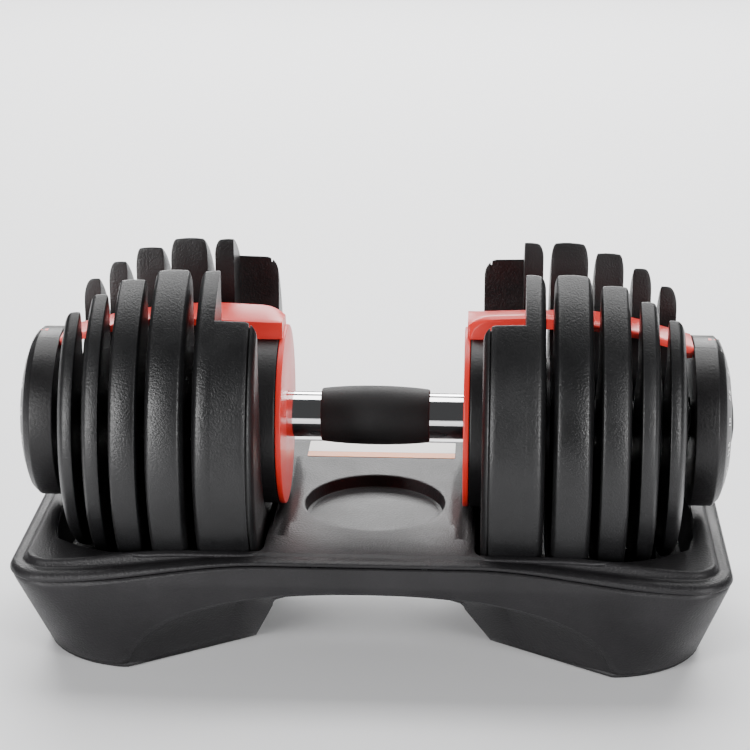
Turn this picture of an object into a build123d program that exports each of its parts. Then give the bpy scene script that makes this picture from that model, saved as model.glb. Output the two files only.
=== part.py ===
from build123d import *
import math
import os

# Adjustable dumbbell lying in its cradle.
# X runs along the handle, +Z is up and the front is -Y.  The origin is on the floor under the middle.
# The dumbbell is worked out around its own handle axis and lifted to axis_height when it is written.

# ---- driving dimensions, mm -------------------------------------------------------------------------
axis_height = 131.0          # handle axis above the floor, dumbbell at rest
running_gap = 0.05           # radial clearance of a turning shaft in its bore

# handle
grip_half_length = 32.5
grip_end_radius = 16.0
grip_mid_radius = 17.8
tube_radius = 13.75
tube_bore_radius = 11.0
tie_rod_radius = 4.0
flange_inner_x = 53.0        # inner face of the red end flange
flange_outer_x = 56.5
flange_radius = 54.0

# inner housing, a hollow drum behind the flange
housing_outer_x = 85.2
housing_wall = 3.0
screw_circle = 42.0
screw_radius = 1.7
screw_head_radius = 3.4

# outer end: fixed end housing, turning dial
end_inner_x = 187.4
end_outer_x = 201.0
end_radius = 51.0
end_flat_z = 46.9            # flat on which the index block sits
dial_base_x = 201.6
dial_edge_x = 205.2          # where the dial's dome starts
dial_tip_x = 214.0
dial_radius = 46.4
end_bevel_x = 204.8          # bevelled collar of the end housing round the dial
end_bevel_radius = 47.2
block_half_width = 12.0      # pointer block let into the top of the end housing, flush with it
block_gap = 0.25
dial_recess_radius = 31.0
dial_recess_x = 205.5
detent_track_radius = 40.0

# plates, from the handle outwards: inner face x, outer face x, radius, start and end of the flat rim,
# and the x of the recess in the outer face where the selector disc runs
plates = [
    (87.5, 99.5, 105.3, 87.5, 95.2, 98.3),
    (104.2, 126.4, 105.6, 107.0, 122.6, 124.2),
    (130.8, 147.8, 99.8, 132.2, 144.8, 146.4),
    (153.5, 164.7, 91.2, 154.4, 160.4, 163.8),
    (170.2, 180.4, 81.2, 170.9, 174.9, 178.8),
]
inner_drops = [0.0, 9.0, 6.0, 5.0, 4.0]          # how far the rim's shoulders fall on each side
outer_drops = [9.0, 13.0, 12.0, 12.0, 12.0]
cover_skins = [1.1, 1.3, 0.9, 0.9, 1.2]
recess_radius = 40.0
first_core_x = 93.3          # the innermost plate's steel starts here
plate_notch_half_width = 34.4
plate_slot_radius = 12.5
notch_floor_z = 44.0
notch_throat_z = 20.0
core_inset = 5.0             # steel core inside the moulded cover, radially

# the deep horseshoe on the innermost plate
cup_inner_x = 64.0
cup_radius = 105.3
cup_edge_radius = 8.0
cup_notch_half_width = 68.3
cup_notch_floor_z = 55.0
cup_bore_radius = 60.0

# selector: which plates each of the 15 dial settings picks up, 0 is the lightest, 14 is all of them
settings = 15
picked_up = {
    1: [10, 11, 12, 13, 14],
    2: [8, 9, 10, 11, 12, 13, 14],
    3: [4, 5, 6, 7, 9, 12, 13, 14],
    4: [2, 3, 6, 7, 8, 11, 13, 14],
    5: [1, 3, 5, 7, 14],
}
step_angle = 360.0 / settings
rest_setting = settings - 1
hex_radius = 9.0             # corner radius of the hexagonal selector shaft
hub_radius = 11.0
disc_radius = 36.0
disc_web = 2.0
lip_inner_radius = 29.6
lip_outer_radius = 33.8
lip_half_angle = 10.0
tab_half_width = 3.2
tab_top_z = -22.0
tab_bottom_z = -28.9
tab_reach = 2.8
tab_clearance = 0.5

# dial lock
gear_radius = 24.0
gear_inner_x = 60.4
gear_outer_x = 62.6
slide_inner_x = 60.0
slide_outer_x = 63.0
slide_tail_z = -60.0
slide_travel = 4.5

# bridge, the red spine over the plates
bridge_half_width_in = 13.0
bridge_half_width_out = 14.5
bridge_start_z = 63.4        # top at the hand end
bridge_crown = (100.0, 65.0)
bridge_knee = (156.0, 58.9)
bridge_end_x = 187.4
bridge_end_z = 49.9
bridge_depth = 4.0
bridge_saddle_x = 88.0       # it sits on the inner housing up to here
bridge_root_z = 48.0         # it starts this high on the flange
bridge_foot_x = 182.2        # narrow foot that is fixed to the end housing
bridge_foot_z = 40.5
bridge_foot_half_width = 7.0

# cradle
deck_half_length = 209.5
deck_half_width = 103.0
deck_corner_radius = 24.0
deck_top = 79.0
deck_end_top = 72.4
rim_top = 78.0               # lower rim round the deck
rim_end_top = 68.0
rim_width = 9.0
panel_corner_radius = 12.0
seam_centre = 74.2
seam_end = 61.6
deck_wall = 3.0
foot_half_length = 197.0
foot_half_width = 84.5
foot_corner_radius = 60.0
flare_top = 62.0             # the base widens up to this height
skirt_wall = 3.0
skirt_bottom = 1.0
seam_gap = 0.5
arch_half_length = 142.0
arch_height = 57.5
tunnel_foot_x = 71.0
tunnel_top_x = 52.0
leg_front_y = 36.5
well_inner_x = 58.0
saddle_scoop_x = (47.3, 52.7)
saddle_scoop_depth = 4.0
saddle_scoop_radius = 580.0
pocket_half_length = 42.0
pocket_half_width = 45.0
pocket_centre_y = -10.0
pocket_depth = 8.0


# ---- helpers ----------------------------------------------------------------------------------------
def drum(x0, x1, radius):
    """Round bar along X from x0 to x1."""
    return extrude(Plane.YZ.offset(x0) * Circle(radius), amount=x1 - x0)


def slab(x0, x1, sketch):
    """A sketch drawn in Y and Z, as thick as x0 to x1."""
    return extrude(Plane.YZ.offset(x0) * sketch, amount=x1 - x0)


def turned(edges):
    """Body of revolution about the handle axis, from an outline in x and radius."""
    return revolve(make_face(Curve() + edges), Axis.X, 360)


def polygon(points):
    """Straight-sided face, kept where its points say."""
    return make_face(Polyline(*points, close=True))


def block(low, high):
    """Box between two corners."""
    size = [b - a for a, b in zip(low, high)]
    middle = [(a + b) / 2 for a, b in zip(low, high)]
    return Pos(*middle) * Box(*size)


def write(shape, name):
    """One STEP file per node; compounds hold separate solids."""
    shape.label = name
    export_step(shape, "parts/" + name + ".step")


def write_pair(shape, name):
    """The right-hand piece as built, and its mirror image on the left, lifted to the handle axis."""
    lifted = Pos(0, 0, axis_height) * shape
    write(lifted, "right_" + name)
    write(mirror(lifted, about=Plane.YZ), "left_" + name)


def both_sides(solids):
    """The solids lifted to the handle axis, with their mirror images, as one group."""
    lifted = [Pos(0, 0, axis_height) * solid for solid in solids]
    return Compound(children=lifted + [mirror(solid, about=Plane.YZ) for solid in lifted])


# ---- handle -----------------------------------------------------------------------------------------
def handle_tube():
    length = flange_outer_x + housing_wall
    return drum(-length, length, tube_radius) - drum(-length, length, tube_bore_radius)


def grip_sleeve():
    shoulder = 1.2
    x = grip_half_length
    outline = [
        Line((-x, tube_radius), (-x, grip_end_radius - shoulder)),
        Line((-x, grip_end_radius - shoulder), (-x + shoulder, grip_end_radius)),
        ThreePointArc((-x + shoulder, grip_end_radius), (0, grip_mid_radius), (x - shoulder, grip_end_radius)),
        Line((x - shoulder, grip_end_radius), (x, grip_end_radius - shoulder)),
        Line((x, grip_end_radius - shoulder), (x, tube_radius)),
        Line((x, tube_radius), (-x, tube_radius)),
    ]
    return turned(outline)


def bridge():
    """Red spine above the plates with the round flange that faces the hand."""
    crown_x, crown_z = bridge_crown
    knee_x, knee_z = bridge_knee
    start = (flange_inner_x + 1.5, bridge_start_z)
    side = make_face(Curve() + [
        Line((flange_inner_x, bridge_root_z), (flange_inner_x, bridge_start_z - 1.5)),
        Line((flange_inner_x, bridge_start_z - 1.5), start),
        Line(start, bridge_crown),
        TangentArc(bridge_crown, bridge_knee, tangent=(1, 0)),
        Line(bridge_knee, (bridge_end_x, bridge_end_z)),
        Line((bridge_end_x, bridge_end_z), (bridge_end_x, bridge_end_z - bridge_depth)),
        Line((bridge_end_x, bridge_end_z - bridge_depth), (knee_x, knee_z - bridge_depth)),
        Line((knee_x, knee_z - bridge_depth), (crown_x, crown_z - bridge_depth)),
        Line((crown_x, crown_z - bridge_depth), (bridge_saddle_x, crown_z - bridge_depth - 0.4)),
        Line((bridge_saddle_x, crown_z - bridge_depth - 0.4), (bridge_saddle_x, bridge_root_z)),
        Line((bridge_saddle_x, bridge_root_z), (flange_inner_x, bridge_root_z)),
    ])
    spine = extrude(Plane.XZ.offset(-30) * side, amount=60)
    plan = polygon([
        (flange_inner_x - 1, -bridge_half_width_in),
        (bridge_end_x + 1, -bridge_half_width_out),
        (bridge_end_x + 1, bridge_half_width_out),
        (flange_inner_x - 1, bridge_half_width_in),
    ])
    spine = spine & extrude(Plane.XY.offset(30) * plan, amount=50)
    spine -= drum(flange_outer_x, bridge_saddle_x + 1, flange_radius)
    foot_top = bridge_end_z - bridge_depth + 1.0
    spine += block((bridge_foot_x, -bridge_foot_half_width, bridge_foot_z),
                   (bridge_end_x, bridge_foot_half_width, foot_top))
    flange = drum(flange_inner_x, flange_outer_x, flange_radius)
    flange = chamfer(flange.edges().filter_by(GeomType.CIRCLE).group_by(Axis.X)[0], 0.8)
    return flange + spine - drum(flange_inner_x - 1, flange_outer_x + 1, tube_radius)


def inner_housing():
    """Hollow drum that holds the inner bearing, the lock slide and its spring."""
    body = drum(flange_outer_x, housing_outer_x, flange_radius)
    body = chamfer(body.edges().filter_by(GeomType.CIRCLE).group_by(Axis.X)[-1], 1.5)
    cavity_end = housing_outer_x - housing_wall
    body -= drum(flange_outer_x + housing_wall, cavity_end, flange_radius - housing_wall)
    body -= drum(flange_outer_x, flange_outer_x + housing_wall, tube_radius)
    body += drum(cavity_end - 9.0, cavity_end, hub_radius + 2.5)
    body -= drum(cavity_end - 10.0, housing_outer_x + 1, hex_radius + running_gap)
    tail_slot = block((slide_inner_x - 0.3, -5.3, -60), (slide_outer_x + 0.3, 5.3, -48))
    guides = [
        block((flange_outer_x + housing_wall, side * 33.5 - 1.5, -30), (slide_outer_x + 2, side * 33.5 + 1.5, 30))
        for side in (-1, 1)
    ]
    for guide in guides:
        body += guide
    return body - tail_slot - screw_holes(screw_radius)


def screw_places():
    radius = screw_circle
    return [(radius * math.cos(math.radians(a)), radius * math.sin(math.radians(a))) for a in (0, 120, 240)]


def screw_holes(radius):
    holes = Part()
    for y, z in screw_places():
        holes += Pos(0, y, z) * drum(housing_outer_x - housing_wall - 0.5, housing_outer_x + 1, radius)
    return holes


def housing_screws():
    """Three pan-head screws a side, into the housing's back wall."""
    head_height = 2.0
    cavity_end = housing_outer_x - housing_wall
    screws = []
    for y, z in screw_places():
        shank = Pos(0, y, z) * drum(cavity_end, housing_outer_x, screw_radius)
        head = Pos(0, y, z) * drum(housing_outer_x, housing_outer_x + head_height, screw_head_radius)
        drive = Pos(housing_outer_x + head_height, y, z) * Box(2.0, 4.4, 0.9)
        screws.append(shank + head - drive)
    return screws


def end_housing():
    """Fixed drum at the outer end, with the outer bearing and the pocket for the click ball."""
    body = drum(end_inner_x, end_outer_x, end_radius)
    body = chamfer(body.edges().filter_by(GeomType.CIRCLE).group_by(Axis.X)[0], 1.2)
    collar = polygon([
        (end_outer_x, end_radius), (end_bevel_x, end_bevel_radius), (end_bevel_x, dial_radius + 0.4),
        (end_outer_x, dial_radius + 0.4),
    ])
    body += revolve(collar, Axis.X, 360)
    slot = block_half_width + block_gap
    body -= block((end_inner_x - 1, -slot, end_flat_z), (end_bevel_x + 1, slot, 60))
    cavity = drum(end_inner_x + 3.0, end_outer_x - 3.0, end_radius - 4.0)
    cavity &= block((end_inner_x, -60, -60), (end_outer_x, 60, end_flat_z - 4.0))
    boss = drum(end_inner_x, end_outer_x, 19.0)
    pocket_boss = Pos(0, 0, -detent_track_radius) * drum(end_inner_x, end_outer_x, 5.5)
    body -= cavity - boss - pocket_boss
    body -= drum(end_inner_x - 1, end_outer_x + 1, hub_radius + 3.0 + running_gap)
    return body - Pos(0, 0, -detent_track_radius) * drum(end_inner_x + 2.0, end_outer_x + 1, 2.6)


def index_block():
    """Segment on top of the end housing that carries the pointer."""
    outline = Circle(end_radius) & Pos(0, end_flat_z + 5.0) * Rectangle(2 * block_half_width, 9.8)
    body = slab(end_inner_x + 0.3, end_bevel_x - 0.3, outline)
    return fillet(body.edges().filter_by(GeomType.CIRCLE).group_by(Axis.X)[-1], 2.3)


def detent_ball():
    return Pos(end_outer_x - 1.0, 0, -detent_track_radius) * Sphere(2.4)


def detent_spring():
    x0 = end_inner_x + 2.0
    x1 = end_outer_x - 3.6
    return Pos(0, 0, -detent_track_radius) * (drum(x0, x1, 2.2) - drum(x0 - 1, x1 + 1, 1.5))


# ---- dial and selector ------------------------------------------------------------------------------
def hexagon(radius):
    return RegularPolygon(radius=radius, side_count=6)


def selector_shaft():
    """Hollow shaft: round journal and lock gear at the inner end, hexagon under the discs."""
    inner_end = flange_outer_x + housing_wall + 0.3
    hex_start = housing_outer_x + 0.4
    shaft_end = 198.0
    shaft = drum(inner_end, hex_start, hex_radius) + slab(hex_start, shaft_end, hexagon(hex_radius))
    gear = drum(gear_inner_x, gear_outer_x, gear_radius)
    for setting in range(settings):
        notch = block((gear_inner_x - 1, -1.6, gear_radius - 4.0), (gear_outer_x + 1, 1.6, gear_radius + 2.0))
        gear -= Rot(setting * step_angle, 0, 0) * notch
    shaft += gear
    return shaft - drum(inner_end - 1, shaft_end + 1, tie_rod_radius + running_gap)


def disc_face_x(number):
    """Inner face of the web of the selector disc that serves a plate."""
    return plates[number - 1][5] + tab_reach + tab_clearance


def selector_disc(number):
    """Web with a hub and a raised lip at each setting that picks its plate up.

    The lip passes under the plate's tab, which hangs inside it at the bottom.
    """
    web_x = disc_face_x(number)
    previous_x = housing_outer_x + 0.5 if number == 1 else disc_face_x(number - 1) + disc_web
    body = drum(web_x, web_x + disc_web, disc_radius) + drum(previous_x, web_x, hub_radius)
    if number == len(plates):
        body += drum(web_x + disc_web, end_inner_x - 0.3, hub_radius)
    lip_x = plates[number - 1][5] + tab_clearance
    ring = Circle(lip_outer_radius) - Circle(lip_inner_radius)
    reach = 2 * lip_outer_radius
    for setting in picked_up[number]:
        half_angle = math.radians(lip_half_angle)
        wedge = polygon([
            (0, 0),
            (-reach * math.sin(half_angle), -reach * math.cos(half_angle)),
            (reach * math.sin(half_angle), -reach * math.cos(half_angle)),
        ])
        turn = (setting - rest_setting) * step_angle
        body += Rot(turn, 0, 0) * slab(lip_x, web_x, ring & wedge)
        if setting + 1 in picked_up[number]:
            body += Rot(turn + step_angle / 2, 0, 0) * slab(lip_x, web_x, ring & wedge)
    return body - slab(previous_x - 1, end_inner_x, hexagon(hex_radius))


def dome_outline(shrink=0.0):
    """Half outline of the dial's shallow dome, in x and radius."""
    edge_x = dial_edge_x
    radius = dial_radius - shrink
    sagitta = dial_tip_x - edge_x
    sphere = (dial_radius ** 2 + sagitta ** 2) / (2 * sagitta)
    middle_r = radius * 0.55
    middle_x = dial_tip_x - shrink - (sphere - math.sqrt(sphere ** 2 - middle_r ** 2))
    return [
        Line((dial_base_x, 0), (dial_base_x, radius)),
        Line((dial_base_x, radius), (edge_x, radius)),
        ThreePointArc((edge_x, radius), (middle_x, middle_r), (dial_tip_x - shrink, 0)),
        Line((dial_tip_x - shrink, 0), (dial_base_x, 0)),
    ]


def dial_knob():
    """Turning face: a shallow dome with a round recess, and a hub that runs in the end housing."""
    body = turned(dome_outline()) - drum(dial_recess_x, dial_tip_x + 1, dial_recess_radius)
    groove_end = dial_base_x + 1.3
    groove = drum(dial_base_x - 1, groove_end, detent_track_radius + 2.8)
    body -= groove - drum(dial_base_x - 1, groove_end, detent_track_radius - 2.8)
    body += drum(end_inner_x + 0.3, dial_base_x, hub_radius + 3.0)
    body -= slab(end_inner_x - 1, 198.1, hexagon(hex_radius))
    body -= drum(198.0, dial_recess_x + 1, 9.5)
    for setting in range(settings):
        dimple = Pos(0, 0, -detent_track_radius) * drum(groove_end - 0.5, groove_end + 0.8, 1.4)
        body -= Rot(setting * step_angle, 0, 0) * dimple
    return body


def dial_grip():
    """Finger bar across the dial's recess, which also covers the nut."""
    bar = slab(dial_recess_x, dial_tip_x, Rectangle(14.0, 2 * dial_recess_radius))
    body = bar + drum(dial_recess_x, dial_tip_x, 14.0)
    body &= turned(dome_outline(0.8))
    body &= drum(dial_recess_x, dial_tip_x, dial_recess_radius - 0.2)
    return body - drum(dial_recess_x - 1, dial_recess_x + 2.0, 9.5)


def tie_rod():
    return drum(-203.5, 203.5, tie_rod_radius)


def tie_rod_nut():
    return slab(198.3, 203.5, hexagon(7.5)) - drum(198, 204, tie_rod_radius)


def lock_slide():
    """Flat steel frame round the lock gear, with a tooth above it and a tail that meets the cradle's post."""
    tooth_tip = gear_radius + 0.4 + slide_travel
    frame = Rectangle(62.0, 82.0) & Circle(46.0)
    window = Rectangle(54.0, 2 * (gear_radius + 1.0)) + Pos(0, 27.0) * Rectangle(54.0, 12.0)
    tooth = polygon([(-3, 35), (-1.4, tooth_tip), (1.4, tooth_tip), (3, 35)])
    tail = Pos(0, (slide_tail_z - 38) / 2) * Rectangle(10.0, -slide_tail_z - 38)
    return slab(slide_inner_x, slide_outer_x, frame - window + tooth + tail)


def lock_spring():
    low = 41.4
    high = 50.4
    middle_x = (slide_inner_x + slide_outer_x) / 2
    coil = Cylinder(1.5, high - low) - Cylinder(0.9, high - low)
    return Pos(middle_x, 0, (low + high) / 2) * coil


# ---- plates -----------------------------------------------------------------------------------------
def plate_opening(half_width, slot_radius, grow=0.0):
    """Notch open at the top that narrows to the slot round the selector shaft."""
    wide = half_width + grow
    slot = slot_radius + grow
    top = 130.0
    funnel = polygon([
        (-wide, top), (-wide, notch_floor_z - grow), (-slot, notch_throat_z - grow), (-slot, 0),
        (slot, 0), (slot, notch_throat_z - grow), (wide, notch_floor_z - grow), (wide, top),
    ])
    return funnel + Circle(slot)


def cup_opening(grow=0.0):
    """Wide notch through the horseshoe, which lets the inner housing rise."""
    wide = cup_notch_half_width + grow
    bore = cup_bore_radius + grow
    top = 130.0
    floor = cup_notch_floor_z - grow
    sides = polygon([(-wide, top), (-wide, floor), (-bore, 0), (bore, 0), (wide, floor), (wide, top)])
    return sides + Circle(bore)


def plate_blank(number):
    """Full disc with rounded shoulders each side of its flat rim."""
    x_in, x_out, radius, flat_start, flat_end, hub_x = plates[number - 1]
    inner_drop = inner_drops[number - 1]
    outer_drop = outer_drops[number - 1]
    outline = [Line((x_in, 0), (x_in, radius - inner_drop))]
    if inner_drop:
        outline.append(TangentArc((x_in, radius - inner_drop), (flat_start, radius), tangent=(0, 1)))
    outline += [
        Line((flat_start, radius), (flat_end, radius)),
        TangentArc((x_out, radius - outer_drop), (flat_end, radius), tangent=(0, 1)),
        Line((x_out, radius - outer_drop), (x_out, recess_radius)),
        Line((x_out, recess_radius), (hub_x, recess_radius)),
        Line((hub_x, recess_radius), (hub_x, 0)),
        Line((hub_x, 0), (x_in, 0)),
    ]
    return turned(outline)


def cup_blank(x0, x1, radius, edge):
    """Deep drum with a rounded inner edge."""
    outline = [
        Line((x0, 0), (x0, radius - edge)),
        TangentArc((x0, radius - edge), (x0 + edge, radius), tangent=(0, 1)),
        Line((x0 + edge, radius), (x1, radius)),
        Line((x1, radius), (x1, 0)),
        Line((x1, 0), (x0, 0)),
    ]
    return turned(outline)


def plate_tab(number):
    """Steel tab that the selector disc's lip lifts."""
    x_out = plates[number - 1][5]
    skin = cover_skins[number - 1]
    low = (x_out - skin, -tab_half_width, tab_bottom_z)
    high = (x_out + tab_reach, tab_half_width, tab_top_z)
    return block(low, high)


def plate_core(number):
    """Steel core, notched like its cover, with the lifting tab."""
    x_in, radius, x_out = (plates[number - 1][n] for n in (0, 2, 5))
    if number == 1:
        x_in = first_core_x
    skin = cover_skins[number - 1]
    inner = radius - core_inset - outer_drops[number - 1] / 3
    core = drum(x_in + skin, x_out - skin, inner)
    core -= slab(x_in, x_out, plate_opening(plate_notch_half_width, plate_slot_radius, 3.0))
    if number == 1:
        ring = cup_blank(cup_inner_x + 3.0, x_in + skin, cup_radius - 5.0, 5.0)
        ring -= slab(cup_inner_x, x_in + skin + 1, cup_opening(3.0))
        core += ring
    return core + plate_tab(number)


def plate_cover(number):
    """Moulded cover round the steel core."""
    x_in, x_out = plates[number - 1][:2]
    body = plate_blank(number)
    if number == 1:
        body += cup_blank(cup_inner_x, x_in, cup_radius, cup_edge_radius)
        body -= slab(cup_inner_x - 1, x_in, cup_opening())
    body -= slab(cup_inner_x - 1, x_out + 1, plate_opening(plate_notch_half_width, plate_slot_radius))
    return body - plate_core(number)


# ---- cradle -----------------------------------------------------------------------------------------
def side_profile(centre_height, end_height, level_x, end_x, low, grow=0.0):
    """Everything above a level and under a curve that is level in the middle and lower at the ends."""
    reach = 215.0
    centre = centre_height + grow
    end = end_height + grow
    outline = [Line((-level_x, centre), (level_x, centre))]
    for side in (-1, 1):
        outline += [
            Spline((side * level_x, centre), (side * end_x, end), tangents=((side, 0), (side, 0))),
            Line((side * end_x, end), (side * reach, end)),
            Line((side * reach, end), (side * reach, low)),
        ]
    outline.append(Line((-reach, low), (reach, low)))
    return extrude(Plane.XZ.offset(-130) * make_face(Curve() + outline), amount=260)


def under_seam(low, grow=0.0):
    """Below the joint line between deck and base."""
    return side_profile(seam_centre, seam_end, 60.0, 184.0, low, grow)


def under_deck_top(low, grow=0.0):
    return side_profile(deck_top, deck_end_top, 108.0, 186.0, low, grow)


def tub_outline(grow=0.0):
    """Well round the plates: x and radius, following their sizes outwards."""
    gap = 2.0 + grow
    p5_x = plates[4][1] + 5.0 + grow
    return [
        (well_inner_x + 3.0 - grow, 0),
        (well_inner_x + 3.0 - grow, 97.5 + grow),
        (63.6 - grow, 103.6 + grow),
        (67.5 - grow / 2, 107.2 + grow),
        (74.0, plates[0][2] + gap),
        (plates[1][1] + 2.0, plates[1][2] + gap),
        (plates[2][1] + 3.0, plates[2][2] + gap),
        (plates[3][1] + 4.0, plates[3][2] + gap),
        (p5_x, plates[4][2] + gap),
        (p5_x + 6.0, 60.0),
        (p5_x + 6.0, 0),
    ]


def well(grow=0.0):
    """Solid of the right-hand well, turned about the handle axis."""
    return revolve(polygon(tub_outline(grow)), Axis.X, 360)


def tub(grow=0.0):
    """Both wells at their height above the floor."""
    right = well(grow)
    return Pos(0, 0, axis_height) * (right + mirror(right, about=Plane.YZ))


def deck_outline(inset=0.0):
    return RectangleRounded(
        2 * (deck_half_length - inset), 2 * (deck_half_width - inset), deck_corner_radius - inset)


def under_rim_top(low, grow=0.0):
    return side_profile(rim_top, rim_end_top, 60.0, 184.0, low, grow)


def deck_slab(inset, bottom, grow):
    """Everything inside the deck's plan and under its top: a raised panel inside a lower rim."""
    rim = extrude(Plane.XY.offset(bottom) * deck_outline(inset), amount=110 - bottom)
    edge = inset + rim_width
    plan = RectangleRounded(
        2 * (deck_half_length - edge), 2 * (deck_half_width - edge), panel_corner_radius - inset)
    panel = extrude(Plane.XY.offset(bottom) * plan, amount=110 - bottom)
    return (rim & under_rim_top(bottom - 1, grow)) + (panel & under_deck_top(bottom - 1, grow))


def saddle_scoop():
    """Shallow hollow that keeps the saddle clear of the red flange."""
    start, foot = saddle_scoop_x
    low = deck_top - saddle_scoop_depth
    end = well_inner_x + 3.5
    outline = polygon([(start, deck_top), (foot, low), (end, low), (end, deck_top + 6), (start, deck_top + 6)])
    turning = Axis((0, 0, low + saddle_scoop_radius), (1, 0, 0))
    half_arc = 9.0
    return revolve(Plane.XZ * outline, turning, 2 * half_arc).rotate(turning, -half_arc)


def tray_deck():
    """Upper shell: level saddle in the middle, one well a side, finger pocket under the grip."""
    shell = deck_slab(0.0, 40.0, 0.0) - under_seam(20.0, seam_gap)
    shell -= deck_slab(deck_wall, 40.0, -deck_wall)
    tub_walls = (tub(2.6) - tub()) & block((-215, -99.5, 10), (215, 99.5, deck_top - 1.5))
    tub_walls &= under_deck_top(0, -1.0)
    keep = Part() + shell + tub_walls
    keep -= tub()
    pocket = Pos(0, pocket_centre_y, deck_top) * extrude(
        Ellipse(pocket_half_length, pocket_half_width), amount=-pocket_depth)
    pocket_cup = Pos(0, pocket_centre_y, deck_top - 1.0) * extrude(
        Ellipse(pocket_half_length + 2.5, pocket_half_width + 2.5), amount=-pocket_depth - 1.5)
    keep = keep + pocket_cup - pocket
    scoop = saddle_scoop() + block((slide_inner_x - 0.8, -6.5, deck_top - 10), (slide_outer_x, 6.5, deck_top + 1))
    keep -= scoop + mirror(scoop, about=Plane.YZ)
    for x, y in deck_screw_places():
        keep += Pos(x, y, (arch_height + deck_top) / 2 + 1.0) * Cylinder(5.0, deck_top - arch_height - 8.0)
        keep -= Pos(x, y, 64.0) * Cylinder(1.6, 12.0)
    return keep


def deck_screw_places():
    return [(x, y) for x in (-32, 32) for y in (-78, 78)]


def base_outline(height_share, inset):
    """Plan of the base: a rounded oblong at the top, rounder and smaller at the floor."""
    corner = foot_corner_radius + (deck_corner_radius - foot_corner_radius) * height_share
    half_length = foot_half_length + (deck_half_length - 0.4 - foot_half_length) * height_share
    half_width = foot_half_width + (deck_half_width - 0.4 - foot_half_width) * height_share
    return RectangleRounded(2 * (half_length - inset), 2 * (half_width - inset), corner - inset)


def base_body(inset, bottom):
    """Body that widens from the floor to the flare's top and is upright above it."""
    low = Plane.XY.offset(bottom) * base_outline(bottom / flare_top, inset)
    high = Plane.XY.offset(flare_top) * base_outline(1.0, inset)
    upright = extrude(Plane.XY.offset(flare_top) * base_outline(1.0, inset), amount=20)
    return loft([low, high], ruled=True) + upright


def arch_level(x):
    """Height of the front arch above the floor."""
    share = min(abs(x) / arch_half_length, 1.0)
    return arch_height * (1 - share ** 2.3) ** 0.5


def leg_front(x):
    """How far back the leg's front face meets the floor."""
    share = (abs(x) - tunnel_foot_x) / (arch_half_length - tunnel_foot_x)
    return leg_front_y + (foot_half_width - leg_front_y) * share


def front_scoop(grow):
    """Hollow in front of each leg, between the arch and the line where the leg stands."""
    sections = []
    low = -5.0
    places = (50, 66, 84, 100, 114, 126, 134, 139, 141.5)
    for x in [-x for x in reversed(places)] + list(places):
        top = arch_level(x) + grow
        back = leg_front(max(abs(x), tunnel_foot_x)) - grow
        points = [(-back, low), (-foot_half_width - 13.0, top), (-130.0, top), (-130.0, low)]
        sections.append(Plane.YZ.offset(x) * polygon(points))
    return loft(sections, ruled=True)


def tunnel(grow):
    """Opening under the middle, from front to back."""
    foot = tunnel_foot_x + grow
    crown = tunnel_top_x + grow
    top = arch_height + grow
    profile = polygon([(-foot - 1.5, -5), (-crown - 2, top - 4), (-crown + 3, top),
                       (crown - 3, top), (crown + 2, top - 4), (foot + 1.5, -5)])
    return extrude(Plane.XZ.offset(-130) * profile, amount=260)


def under_cuts(grow):
    scoop = front_scoop(grow)
    return scoop + mirror(scoop, about=Plane.XZ) + tunnel(grow)


def foot_places():
    return [(x, y) for x in (-150, 150) for y in (-52, 52)]


def tray_base():
    """Lower shell: skirt, four hollow legs and the arches between them."""
    outside = base_body(0.0, skirt_bottom) - under_cuts(0.0)
    inside = base_body(skirt_wall, skirt_bottom + 2.5) - under_cuts(skirt_wall)
    body = (outside - inside) & under_seam(0.0)
    body -= tub(2.8)
    for x, y in foot_places():
        body -= Pos(x, y, skirt_bottom + 0.5) * Cylinder(9.0, 1.0)
    for x, y in deck_screw_places():
        body -= Pos(x, y, arch_height) * Cylinder(2.1, 12.0)
    return body


def rubber_feet():
    return [Pos(x, y, 1.0) * Cylinder(8.9, 2.0) for x, y in foot_places()]


def deck_screws():
    screws = []
    for x, y in deck_screw_places():
        head = Pos(x, y, arch_height - 1.0) * Cylinder(4.0, 2.0)
        drive = Pos(x, y, arch_height - 2.0) * Box(5.0, 1.0, 1.6)
        shank = Pos(x, y, arch_height + 6.0) * Cylinder(1.6, 12.0)
        screws.append(head + shank - drive)
    return screws


def rest_comb():
    """Moulded insert in the floor of a well: a liner, a fin between each pair of plates and the release post.

    The post holds the lock slide up while the dumbbell is parked.
    """
    lining = well(-0.1) - well(-1.3)
    body = lining & block((75.0, -30, -115), (182, 30, -20))
    for inner, outer in zip(plates, plates[1:]):
        middle = (inner[1] + outer[0]) / 2
        body += turned_ring(middle - 1.2, middle + 1.2, inner[2] + 6.0, inner[2] - 22.0)
    post_top = slide_tail_z - 0.3
    body += block((slide_inner_x + 1.2, -7.0, -97.0), (slide_outer_x + 0.2, 7.0, post_top))
    body += lining & block((60.0, -7.0, -115), (76.0, 7.0, -80))
    return body & well(-0.1) & block((60, -30, -115), (200, 30, -20))


def turned_ring(x0, x1, outer, inner):
    return drum(x0, x1, outer) - drum(x0 - 1, x1 + 1, inner)


def label():
    """Blank instruction label at the back of the saddle."""
    return block((-47.0, 66.0, deck_top), (47.0, 94.0, deck_top + 0.3))


# ---- write every node -------------------------------------------------------------------------------
os.makedirs("parts", exist_ok=True)

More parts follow.
